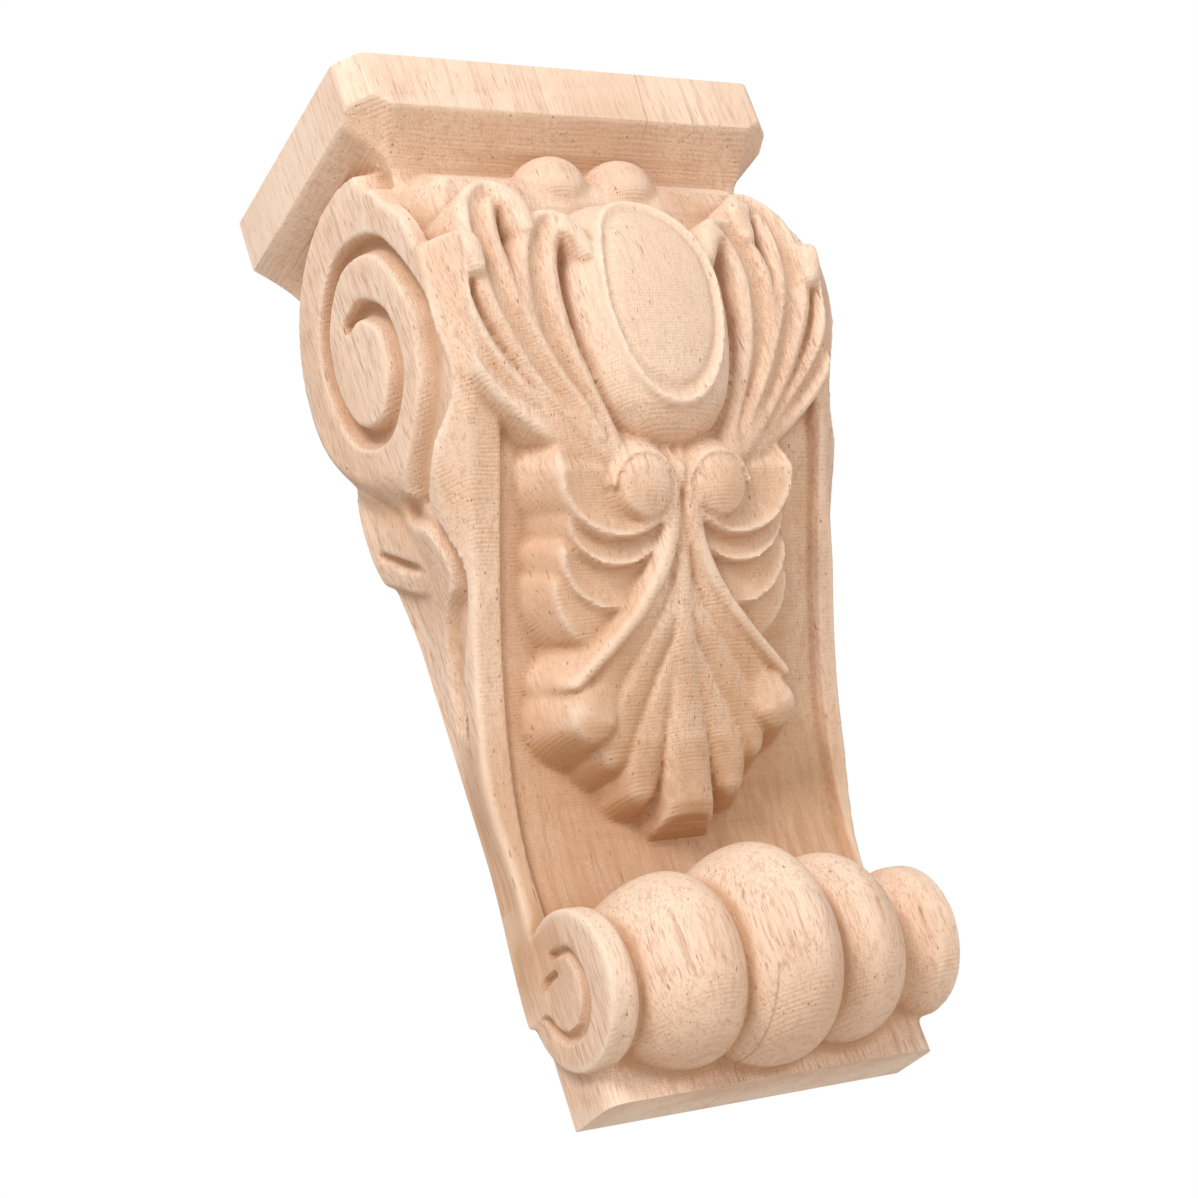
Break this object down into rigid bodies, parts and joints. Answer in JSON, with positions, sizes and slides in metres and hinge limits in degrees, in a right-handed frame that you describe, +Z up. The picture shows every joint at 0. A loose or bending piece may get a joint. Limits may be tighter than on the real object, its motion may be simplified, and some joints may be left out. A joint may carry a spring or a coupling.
{
  "type": "corbel bracket",
  "caption": "Carved wooden corbel bracket with a scroll side, a leaf and egg front, a moulded cap and a ribbed roll at the foot.",
  "frame": {"origin": "on the flat back that lies on the wall, in the middle of the width, 90 mm below the top of the cap", "axes": "+X across the width, +Y into the wall so the carved front faces -Y, +Z up"},
  "size_m": [0.1, 0.0629, 0.2],
  "materials": {
    "bare_wood": "unfinished pale hardwood, fine pores and milling marks"
  },
  "bodies": {
    "root": {"corbel": "bare_wood"}
  },
  "joints": []
}
